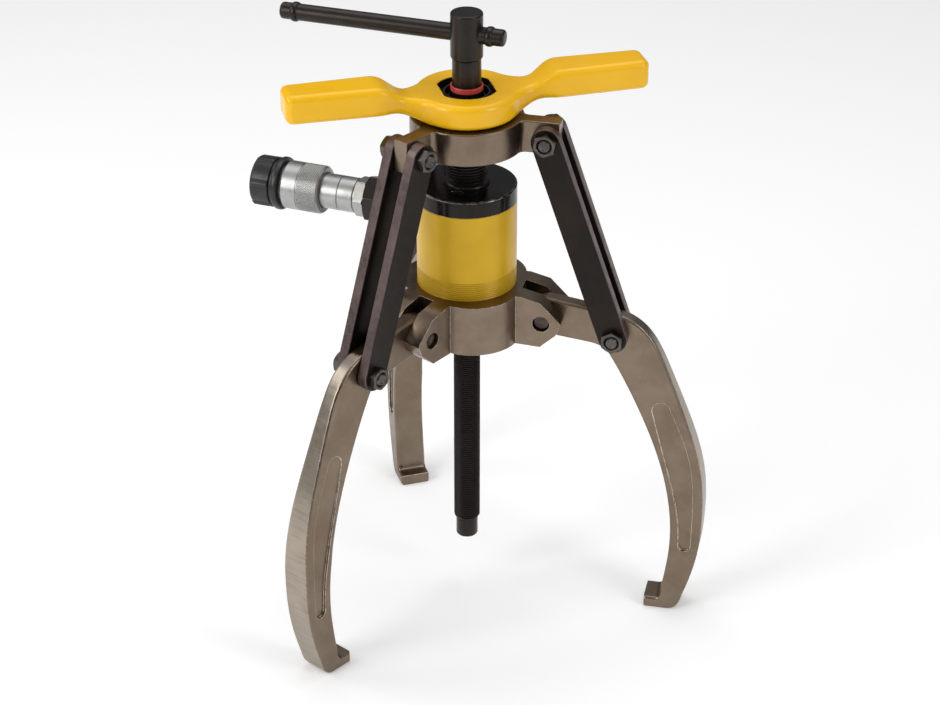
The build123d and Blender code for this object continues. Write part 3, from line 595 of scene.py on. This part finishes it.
def rigid(origin, axis):
    """Places a mesh with local Z along the axis and local Y as near to up as it goes."""
    along = Vector(axis).normalized()
    across = UP.cross(along).normalized()
    turn = Matrix((across, along.cross(across), along)).transposed().to_4x4()
    return Matrix.Translation(origin) @ turn


def axis_matrix(origin, axis):
    """The same, from a mesh in millimetres to an origin in metres."""
    return rigid(origin, axis) @ TO_METRES


def sharp_edges(bm, degrees_limit):
    limit = math.radians(degrees_limit)
    return [edge for edge in bm.edges if len(edge.link_faces) == 2 and edge.calc_face_angle(0) > limit]


def round_edges(bm, width, degrees_limit, segments, material):
    bmesh.ops.bevel(
        bm, geom=sharp_edges(bm, degrees_limit), offset=width, offset_type="OFFSET", segments=segments,
        profile=0.5, affect="EDGES", clamp_overlap=True, material=material,
    )


def merge_flats(bm, degrees_limit=0.2):
    bmesh.ops.dissolve_limit(
        bm, angle_limit=math.radians(degrees_limit), verts=bm.verts, edges=bm.edges,
    )


def new_piece(name, bms, matrix, nodes, materials=None, crease=CREASE):
    """One mesh object from one or more bmeshes, in place of the CAD nodes and riding on their body."""
    verts, faces, indices = [], [], []
    for bm in bms:
        first = len(verts)
        bm.verts.index_update()
        verts += [matrix @ vert.co for vert in bm.verts]
        faces += [[first + vert.index for vert in face.verts] for face in bm.faces]
        indices += [face.material_index for face in bm.faces]
        bm.free()
    mesh = bpy.data.meshes.new(name)
    mesh.from_pydata(verts, [], faces)
    mesh.polygons.foreach_set("material_index", indices)
    mesh.validate()
    mesh.polygons.foreach_set("use_smooth", [True] * len(mesh.polygons))
    mesh.set_sharp_from_angle(angle=math.radians(crease))
    piece = bpy.data.objects.new(name, mesh)
    bpy.context.collection.objects.link(piece)
    slot_name = SLOT_OF[nodes[0]]
    paint(piece, *(materials or (slot_name,)))
    mesh.polygons.foreach_set("material_index", indices)
    weighted = piece.modifiers.new("even_shading", "WEIGHTED_NORMAL")
    weighted.keep_sharp = True
    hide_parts(*nodes)
    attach(piece, BODY_OF[nodes[0]])
    return piece


def softened(node_name, width_mm, name, degrees_limit=32, segments=3, materials=None):
    """A copy of a CAD node with its sharp edges rounded; a second material goes on the rounded edges."""
    bm = bmesh.new()
    bm.from_mesh(frame["nodes"][node_name].data)
    bmesh.ops.scale(bm, vec=(1 / MM, 1 / MM, 1 / MM), verts=bm.verts)
    bmesh.ops.remove_doubles(bm, verts=bm.verts, dist=CAD_WELD)
    bmesh.ops.dissolve_degenerate(bm, dist=CAD_SLIVER, edges=bm.edges)
    merge_flats(bm)
    for face in bm.faces:
        face.material_index = 0
    edge_material = 1 if materials and len(materials) > 1 else 0
    round_edges(bm, width_mm, degrees_limit, segments, edge_material)
    return new_piece(name, [bm], TO_METRES, [node_name], materials=materials)


def in_mm(point):
    return Vector(point) / MM


def box_mm(node_name):
    return [in_mm(corner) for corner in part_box(node_name)]


# ---------------------------------------------------------------- centre screw, sleeve and cylinder
SCREW_PITCH, SCREW_THREAD_DEPTH = 1.5875, 0.86
SCREW_R, SHANK_R = 9.525, 9.9
TIP_R, TIP_END = 7.95, 15.5
SCREW_THREAD_END, HEAD_BOTTOM = 345.0, 380.8
CROSS_HOLE_R, DRILL_REACH = 5.95, 20
SLEEVE_PITCH, SLEEVE_THREAD_DEPTH = 2.1167, 1.15
SLEEVE_R, SLEEVE_BORE_R, SLEEVE_BORE_FLOOR, INNER_TUBE_R = 14.5, 12.0, 327.0, 10.3
BARREL_BORE_R, RETAINER_GROOVE_R = 27.05, 28.25
LINE_DEPTH = 0.3              # of the collar thread's grooves under the paint


def make_screw():
    """Threaded rod with a turned tip, a plain shank and a cross-drilled head."""
    low, high = box_mm("centre_screw")
    head_r = (high.x - low.x) / 2
    top = high.z
    rod = turned(
        [(0, 0), (TIP_R - 1.4, 0), (TIP_R - 0.5, 0.35), (TIP_R, 1.2), (TIP_R, TIP_END - 0.6),
         (TIP_R - 0.3, TIP_END), (SCREW_R - 1.0, TIP_END + 0.2)]
        + thread(TIP_END + 0.25, SCREW_THREAD_END - 1.0, SCREW_PITCH, SCREW_R, SCREW_R - SCREW_THREAD_DEPTH)
        + [(SCREW_R - 0.9, SCREW_THREAD_END - 0.8), (SHANK_R - 0.3, SCREW_THREAD_END - 0.3),
           (SHANK_R, SCREW_THREAD_END), (SHANK_R, HEAD_BOTTOM - 1.4),
           (SHANK_R - 0.25, HEAD_BOTTOM - 1.0), (0, HEAD_BOTTOM - 1.0)],
        segments=48,
    )
    head = turned([
        (0, HEAD_BOTTOM - 1.0), (SHANK_R + 0.1, HEAD_BOTTOM - 1.0), (head_r - 0.35, HEAD_BOTTOM - 0.25),
        (head_r, HEAD_BOTTOM + 0.5), (head_r, top - 1.3), (head_r - 0.25, top - 0.6),
        (head_r - 0.8, top - 0.15), (head_r - 1.5, top), (0, top),
    ], segments=96)
    blank = new_piece("screw_head", [head], TO_METRES, ["centre_screw"])
    drill_cross_hole(blank)
    new_piece("screw_rod", [rod], TO_METRES, ["centre_screw"], crease=50)


def bar_axis():
    """Centre and direction of the tommy bar, the direction towards its long end."""
    low, high = map(Vector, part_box("tommy_bar"))
    direction = -Vector(JOINTS["tommy_slide"]["axis"]).normalized()
    return (low + high) / 2, direction


def drill_cross_hole(blank):
    centre, direction = bar_axis()
    matrix = axis_matrix((0, 0, centre.z), direction)
    ends = [(0, -DRILL_REACH), (CROSS_HOLE_R, -DRILL_REACH), (CROSS_HOLE_R, DRILL_REACH), (0, DRILL_REACH)]
    drill = turned(ends, segments=64)
    mesh = bpy.data.meshes.new("drill")
    drill.transform(matrix)
    drill.to_mesh(mesh)
    drill.free()
    tool = bpy.data.objects.new("drill", mesh)
    bpy.context.collection.objects.link(tool)
    cut = blank.modifiers.new("cross_hole", "BOOLEAN")
    cut.object = tool
    cut.solver = "EXACT"
    blank.modifiers.move(len(blank.modifiers) - 1, 0)
    bpy.context.view_layer.update()
    evaluated = blank.evaluated_get(bpy.context.evaluated_depsgraph_get())
    result = bpy.data.meshes.new_from_object(evaluated)
    blank.modifiers.remove(cut)
    old = blank.data
    blank.data = result
    bpy.data.meshes.remove(old)
    result.set_sharp_from_angle(angle=math.radians(CREASE))
    bpy.data.objects.remove(tool)


def make_sleeve():
    low, high = box_mm("threaded_sleeve")
    foot_r = (high.x - low.x) / 2
    cap_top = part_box("cylinder_cap")[1][2] / MM
    top = high.z
    rows = [(INNER_TUBE_R, low.z), (SLEEVE_R, low.z), (SLEEVE_R, cap_top), (foot_r - 0.3, cap_top),
            (foot_r, cap_top + 0.4), (foot_r - 0.1, cap_top + 1.2), (foot_r - 0.7, cap_top + 2.1),
            (SLEEVE_R - 0.9, cap_top + 3.0)]
    rows += thread(cap_top + 3.2, top - 0.9, SLEEVE_PITCH, SLEEVE_R, SLEEVE_R - SLEEVE_THREAD_DEPTH)
    rows += [(SLEEVE_R - 1.3, top - 0.6), (SLEEVE_R - 1.7, top), (SLEEVE_BORE_R, top),
             (SLEEVE_BORE_R, SLEEVE_BORE_FLOOR), (INNER_TUBE_R, SLEEVE_BORE_FLOOR), (INNER_TUBE_R, low.z)]
    new_piece("sleeve_thread", [turned(rows, 96)], TO_METRES, ["threaded_sleeve"], crease=50)


def make_barrel():
    """Outer shell; the collar thread shows through the paint as fine lines above the bracket."""
    low, high = box_mm("cylinder_barrel")
    radius = (high.x - low.x) / 2
    bore_r, groove_r = BARREL_BORE_R, RETAINER_GROOVE_R
    rows = [(bore_r, low.z + 0.7), (bore_r, low.z + 0.5), (bore_r + 0.5, low.z), (radius - 0.6, low.z),
            (radius, low.z + 0.6)]
    height = BARREL_LINES_BOTTOM
    while height < BARREL_LINES_TOP - 0.1:
        rows += [(radius, height + 0.3), (radius - LINE_DEPTH, height + 0.65),
                 (radius - LINE_DEPTH, height + 0.85), (radius, height + 1.2)]
        height += BARREL_LINE_PITCH
    rows += [(radius, high.z - 0.5), (radius - 0.35, high.z - 0.1), (radius - 0.6, high.z),
             (bore_r, high.z), (bore_r, low.z + 2.3), (groove_r, low.z + 2.3), (groove_r, low.z + 0.7),
             (bore_r, low.z + 0.7)]
    new_piece("barrel_shell", [turned(rows, 160)], TO_METRES, ["cylinder_barrel"], crease=60)


# ---------------------------------------------------------------- tommy bar
STOP_RING_R, STOP_RING_FROM_END, STOP_RING_WIDTH = 6.9, 10.5, 4.8
RING_STEPS = 8


def make_bar():
    low, high = map(Vector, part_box("tommy_bar"))
    centre, direction = bar_axis()
    bar_r = (high.z - low.z) / 2 / MM
    left, right = reach("tommy_bar", direction), reach("tommy_bar", -direction)
    matrix = axis_matrix((0, 0, centre.z), direction)
    rows = [(0, -right), (bar_r - 2.2, -right), (bar_r - 1.0, -right + 0.3), (bar_r - 0.3, -right + 1.0),
            (bar_r, -right + 2.2), (bar_r, left - 2.2), (bar_r - 0.3, left - 1.0),
            (bar_r - 1.0, left - 0.3), (bar_r - 2.2, left), (0, left)]
    new_piece("sliding_bar", [turned(rows, 64)], matrix, ["tommy_bar"], crease=50)
    stations = (-right + STOP_RING_FROM_END, left - STOP_RING_FROM_END)
    rings = [ring_round(bar_r - OVERLAP, STOP_RING_R, station, STOP_RING_WIDTH) for station in stations]
    new_piece("stop_rings", rings, matrix, ["bar_stop_rings"], crease=60)


def reach(node_name, direction):
    """How far a node reaches from the Z axis in a level direction, in millimetres."""
    return max(vert.co.dot(direction) for vert in frame["nodes"][node_name].data.vertices) / MM


def ring_round(inner, outer, station, width):
    """A ring with a half-round outside."""
    rise = outer - inner
    rows = []
    for step in range(RING_STEPS + 1):
        angle = math.pi * step / RING_STEPS
        rows.append((inner + rise * math.sin(angle), station - width / 2 * math.cos(angle)))
    return turned(rows + [rows[0]], 64)


# ---------------------------------------------------------------- bolts and nuts of the links
BOLT_R = 4.76
BOLT_PITCH = 1.058
ACROSS_FLATS = 14.3
NUT_HEIGHT = 5.3
NUT_GAP, NUT_MOUTH = 0.02, 0.75
HEAD_HEIGHT = 6.0
LINK_OUTER = 14.1
STICKOUT = 0.6
STEM_THREAD = 9.0             # length of thread at the bolt's end
HEX_TURNS = (20.0, 30.0)      # the upper and the lower fastener


def fastener_places(number):
    """For the upper and lower bolt: middle on the jaw's plane, in mm, and the side that the nut is on."""
    axis = Vector(JOINTS[f"links_{number}_swing"]["axis"]).normalized()
    points = [in_mm(vert.co) for vert in frame["nodes"][f"link_{number}_nuts"].data.vertices]
    middle_z = (min(p.z for p in points) + max(p.z for p in points)) / 2
    level = Vector((-axis.y, axis.x, 0))
    side = 1 if sum(p.dot(axis) for p in points) > 0 else -1
    places = []
    for upper in (True, False):
        group = [p for p in points if (p.z > middle_z) == upper]
        along = [p.dot(level) for p in group]
        heights = [p.z for p in group]
        places.append(level * (min(along) + max(along)) / 2 + UP * (min(heights) + max(heights)) / 2)
    return places, axis, side


def nut_mesh(turn):
    """A nut from local z 0 up, crowned on its outer face, with a chamfered mouth."""
    rows = hexagon(ACROSS_FLATS, 0, NUT_HEIGHT, turn)
    bore_r = BOLT_R + NUT_GAP
    rows = [(bore_r, 0)] + rows[1:-1]
    rows += [(BOLT_R + NUT_MOUTH, NUT_HEIGHT), (bore_r, NUT_HEIGHT - NUT_MOUTH), (bore_r, 0)]
    bm = turned(rows, 72)
    merge_flats(bm)
    return bm


def bolt_meshes(turn):
    """Head below z 0, stem up through both links, and a chamfered threaded end."""
    stem_end = 2 * LINK_OUTER + NUT_HEIGHT + STICKOUT
    head = turned(hexagon(ACROSS_FLATS, 0, HEAD_HEIGHT, turn), 72)
    merge_flats(head)
    bmesh.ops.scale(head, vec=(1, 1, -1), verts=head.verts)
    bmesh.ops.reverse_faces(head, faces=head.faces)
    stem = turned(
        [(0, 0), (BOLT_R, 0), (BOLT_R, stem_end - STEM_THREAD)]
        + thread(stem_end - STEM_THREAD + 0.2, stem_end - 0.9, BOLT_PITCH, BOLT_R, BOLT_R - 0.5)
        + [(BOLT_R - 0.55, stem_end - 0.85), (BOLT_R - 1.15, stem_end), (BOLT_R - 2.2, stem_end),
           (BOLT_R - 2.6, stem_end - 0.35), (0, stem_end - 0.35)],
        40,
    )
    return [head, stem]


def make_fasteners(number):
    places, axis, side = fastener_places(number)
    nuts, bolts = [], []
    for place, hex_turn in zip(places, HEX_TURNS):
        turn = hex_turn * side
        nut = nut_mesh(turn)
        nut.transform(rigid(place + axis * side * LINK_OUTER, axis * side))
        nuts.append(nut)
        for bm in bolt_meshes(turn):
            bm.transform(rigid(place - axis * side * LINK_OUTER, axis * side))
            bolts.append(bm)
    black = ("fastener_black",)
    new_piece(f"link_nuts_{number}", nuts, TO_METRES, [f"link_{number}_nuts"], black)
    new_piece(f"link_bolts_{number}", bolts, TO_METRES, [f"link_{number}_bolts"], black)


# ---------------------------------------------------------------- links, bracket, pins and jaws
LINK_EDGE, JAW_EDGE = 0.22, 0.6                # millimetres
BACK_FROM = 0.110             # metres from the screw's axis, where a jaw's ground back begins
FLAT_FACE, BACK_ACROSS, BACK_OUTWARD = 0.8, 0.5, 0.3        # cosines that sort faces by their normals
PIN_R, PIN_HALF, PIN_DISH = 5.98, 17.0, 0.5


def make_links(number):
    for side in "ab":
        piece = softened(
            f"link_{number}_{side}", LINK_EDGE, f"link_bar_{number}_{side}", degrees_limit=25, segments=2,
            materials=("link_black", "link_edge"),
        )
        axis = Vector(JOINTS[f"links_{number}_swing"]["axis"]).normalized()
        for polygon in piece.data.polygons:
            polygon.material_index = 0 if abs(polygon.normal.dot(axis)) > FLAT_FACE else 1


def make_jaw(number):
    """The forging, with the backs of the arm ground across."""
    piece = softened(
        f"jaw_{number}", JAW_EDGE, f"jaw_forging_{number}",
        materials=("forged_nickel", "rubbed_nickel", "ground_nickel"),
    )
    axis = Vector(JOINTS[f"jaw_{number}_swing"]["axis"]).normalized()
    out = Vector((-axis.y, axis.x, 0))
    for polygon in piece.data.polygons:
        back = abs(polygon.normal.dot(axis)) < BACK_ACROSS and polygon.normal.dot(out) > BACK_OUTWARD
        if back and polygon.material_index == 0 and polygon.center.dot(out) > BACK_FROM:
            polygon.material_index = 2


def make_pins():
    """Pivot pins with chamfered ends, sunk below the faces of the bracket's ears."""
    pins = []
    for number in (1, 2, 3):
        joint = JOINTS[f"jaw_{number}_swing"]
        centre = in_mm(joint["pos_m"])
        axis = Vector(joint["axis"]).normalized()
        bm = turned([
            (0, -PIN_HALF + PIN_DISH), (PIN_R - 3.2, -PIN_HALF + PIN_DISH), (PIN_R - 2.6, -PIN_HALF),
            (PIN_R - 0.9, -PIN_HALF), (PIN_R, -PIN_HALF + 0.9), (PIN_R, PIN_HALF - 0.9),
            (PIN_R - 0.9, PIN_HALF), (PIN_R - 2.6, PIN_HALF), (PIN_R - 3.2, PIN_HALF - PIN_DISH),
            (0, PIN_HALF - PIN_DISH),
        ], 48)
        bm.transform(rigid(centre, axis))
        pins.append(bm)
    new_piece("pivot_pins", pins, TO_METRES, ["jaw_pivot_pins"])


# ---------------------------------------------------------------- coupler and dust cap
# Radii, and stations along the port's axis from the screw's axis.
FITTING_START, FITTING_HEX_START, COUPLER_HEX_START, COUPLER_HEX_END = 29.0, 57.0, 73.0, 80.8
FITTING_FLATS, FITTING_HEX_TURN, COUPLER_FLATS, COUPLER_HEX_TURN = 30.4, 22.0, 25.6, 8.0
FITTING_STEM_R, FITTING_NECK_R, FITTING_R = 8.5, 11.2, 12.0
BODY_R, JOINT_LINE, BODY_END = 12.5, 93.6, 108.7
SLIDE_R, NOSE_R, NOSE_START, NOSE_END = 13.0, 14.7, 135.6, 151.0
SOCKET_R, SOCKET_FLOOR = 6.0, 112.0
COLLAR_START, COLLAR_END, COLLAR_R, COLLAR_BORE_R = 106.7, 135.3, 17.2, 13.05
KNURL_START, KNURL_END = COLLAR_START + 1.6, 122.6
KNURL_TEETH = 60
KNURL_DEPTH = 0.6
KNURL_STEEPNESS = 3.4
KNURL_STEPS = 6               # mesh columns and rows for each tooth
CAP_START, CAP_END, CAP_R, CAP_BORE_R = 137.0, 159.0, 18.0, 15.0
CAP_FLANGE_R, CAP_GROOVE_R, CAP_FLOOR = 19.0, 16.6, 3.5
CAP_RIB_R, CAP_RIBS, CAP_RIB_TURN = 18.75, 6, 12.0
RIB_HALF, RIB_CREST_HALF, CHANNEL_HALF = 7.0, 5.0, 2.5      # degrees
CHANNEL_DEPTH = 0.55          # of the rib's height


def port_matrix():
    joint = JOINTS["collar_spin"]
    return axis_matrix(joint["pos_m"], joint["axis"])


def knurl_radius(radius, tooth_offset):
    """Diamond knurl: two sets of V grooves that cross."""
    def radius_at(angle):
        tooth = angle / math.tau * KNURL_TEETH
        grooves = []
        for phase in (tooth + tooth_offset, tooth - tooth_offset):
            grooves.append(max(0.0, 1 - abs((phase + 0.5) % 1 - 0.5) * KNURL_STEEPNESS))
        return radius - KNURL_DEPTH * max(grooves)
    return radius_at


def make_collar():
    """Sliding collar, knurled over its first half."""
    start, end, outer, inner = COLLAR_START, COLLAR_END, COLLAR_R, COLLAR_BORE_R
    tooth_pitch = math.tau * outer / KNURL_TEETH
    rows = [(inner, start), (outer - 1.9, start), (outer - 1.1, start + 0.25),
            (outer - 0.5, KNURL_START - 0.4)]
    steps = round((KNURL_END - KNURL_START) / tooth_pitch * KNURL_STEPS)
    for step in range(steps + 1):
        height = KNURL_START + (KNURL_END - KNURL_START) * step / steps
        rows.append(shaped(knurl_radius(outer, step / KNURL_STEPS), height))
    rows += [(outer - 0.5, KNURL_END + 0.3), (outer - 0.5, KNURL_END + 0.9),
             (outer - 0.05, KNURL_END + 1.2), (outer, KNURL_END + 1.8), (outer, end - 1.0),
             (outer - 0.3, end - 0.3), (outer - 0.9, end), (inner, end), (inner, start)]
    piece = new_piece(
        "knurled_collar", [turned(rows, KNURL_TEETH * KNURL_STEPS)], port_matrix(), ["coupler_collar"],
        materials=("zinc", "knurl_groove_painted_light"), crease=20,
    )
    to_port = port_matrix().inverted()
    # the knurl's groove faces get the painted-light copy of the zinc, lighter than the turned faces
    for polygon in piece.data.polygons:
        local = to_port @ polygon.center
        if KNURL_START < local.z < KNURL_END and local.xy.length < outer - 0.5 * KNURL_DEPTH:
            polygon.material_index = 1


def make_coupler_body():
    """Hexagon, turned body with a joint line, and the nose that the dust cap covers."""
    hex_end = COUPLER_HEX_END
    rows = hexagon(COUPLER_FLATS, COUPLER_HEX_START, hex_end, COUPLER_HEX_TURN, base_crown=True, cone=0.4)
    hexagon_bm = turned(rows, 72)
    merge_flats(hexagon_bm)
    body = turned([
        (0, hex_end - 0.5), (BODY_R - 0.9, hex_end - 0.5), (BODY_R - 0.9, hex_end + 0.9),
        (BODY_R - 0.35, hex_end + 1.1), (BODY_R, hex_end + 1.7), (BODY_R, JOINT_LINE - 0.5),
        (BODY_R - 0.3, JOINT_LINE - 0.25), (BODY_R - 0.45, JOINT_LINE), (BODY_R - 0.3, JOINT_LINE + 0.25),
        (BODY_R, JOINT_LINE + 0.5), (BODY_R, BODY_END), (SLIDE_R, BODY_END), (SLIDE_R, NOSE_START),
        (NOSE_R - 0.3, NOSE_START), (NOSE_R, NOSE_START + 0.4), (NOSE_R, NOSE_END - 1.2),
        (NOSE_R - 0.3, NOSE_END - 0.4), (NOSE_R - 1.0, NOSE_END), (SOCKET_R + 0.6, NOSE_END),
        (SOCKET_R, NOSE_END - 0.6), (SOCKET_R, SOCKET_FLOOR), (0, SOCKET_FLOOR),
    ], 96)
    new_piece("coupler_turned", [hexagon_bm, body], port_matrix(), ["coupler_body"])


def make_port_fitting():
    """Hexagon adaptor screwed into the cylinder."""
    hex_start = FITTING_HEX_START
    rows = hexagon(FITTING_FLATS, hex_start, COUPLER_HEX_START, FITTING_HEX_TURN, base_crown=True, cone=0.45)
    hexagon_bm = turned(rows, 72)
    merge_flats(hexagon_bm)
    neck = turned([
        (0, FITTING_START), (FITTING_STEM_R, FITTING_START), (FITTING_STEM_R, FITTING_START + 6.3),
        (FITTING_NECK_R, FITTING_START + 6.8), (FITTING_R, FITTING_START + 7.6), (FITTING_R, hex_start - 5.0),
        (FITTING_NECK_R, hex_start - 4.2), (FITTING_NECK_R, hex_start + 0.2), (0, hex_start + 0.2),
    ], 64)
    new_piece("port_adaptor", [hexagon_bm, neck], port_matrix(), ["port_fitting"])


def rib_radius(low, high):
    """Raised ribs, each with a shallow channel along its middle."""
    def radius_at(angle):
        sector = (math.degrees(angle) + CAP_RIB_TURN) % (360 / CAP_RIBS) - 180 / CAP_RIBS
        offset = abs(sector)
        if offset > RIB_HALF:
            return low
        if offset > RIB_CREST_HALF:
            return low + (high - low) * (RIB_HALF - offset) / (RIB_HALF - RIB_CREST_HALF)
        if offset < CHANNEL_HALF:
            return high - (high - low) * CHANNEL_DEPTH
        return high
    return radius_at


def make_dust_cap():
    """Flange, groove and ribbed body, open towards the coupler."""
    start, end, flange_r = CAP_START, CAP_END, CAP_FLANGE_R
    rows = [
        (CAP_BORE_R, start), (flange_r - 1.5, start), (flange_r - 0.45, start + 0.5), (flange_r, start + 1.6),
        (flange_r, start + 3.6), (flange_r - 0.45, start + 4.7), (flange_r - 1.5, start + 5.2),
        (CAP_GROOVE_R + 0.15, start + 5.5), (CAP_GROOVE_R, start + 6.2), (CAP_GROOVE_R + 0.15, start + 7.0),
        (CAP_R - 0.3, start + 7.4),
        shaped(rib_radius(CAP_R, CAP_R + 0.1), start + 7.8),
        shaped(rib_radius(CAP_R, CAP_RIB_R), start + 8.4),
        shaped(rib_radius(CAP_R - 0.1, CAP_RIB_R), end - 2.2),
        shaped(rib_radius(CAP_R - 0.4, CAP_RIB_R - 0.4), end - 1.2),
        (CAP_R - 1.1, end - 0.4), (CAP_R - 2.0, end - 0.05), (CAP_R - 4.0, end),
        (CAP_R - 4.6, end - 0.6), (CAP_R - 6.0, end - 0.7), (0, end - 0.7),
        (0, end - CAP_FLOOR), (CAP_BORE_R, end - CAP_FLOOR), (CAP_BORE_R, start),
    ]
    new_piece("ribbed_cap", [turned(rows, 180)], port_matrix(), ["dust_cap"], crease=35)


# ---------------------------------------------------------------- everything in its place
BRACKET_EDGE, CAP_EDGE, RING_EDGE, PLUG_EDGE, DRIVE_NUT_EDGE = 1.2, 0.35, 0.7, 0.3, 0.4      # millimetres

make_screw()
make_sleeve()
make_barrel()
make_bar()
make_pins()
make_collar()
make_coupler_body()
make_port_fitting()
make_dust_cap()
softened("jaw_bracket", BRACKET_EDGE, "bracket_forging", materials=("forged_nickel", "rubbed_nickel"))
softened("cylinder_cap", CAP_EDGE, "enamelled_cap", materials=("black_gloss", "worn_black"))
softened("screw_ring", RING_EDGE, "red_band")
softened("cap_plug", PLUG_EDGE, "oil_plug", materials=("black_gloss",))
softened("drive_nut", DRIVE_NUT_EDGE, "nut_on_sleeve")
for jaw_number in (1, 2, 3):
    make_jaw(jaw_number)
    make_links(jaw_number)
    make_fasteners(jaw_number)

for node_name, node in frame["nodes"].items():
    paint(node, SLOT_OF[node_name])
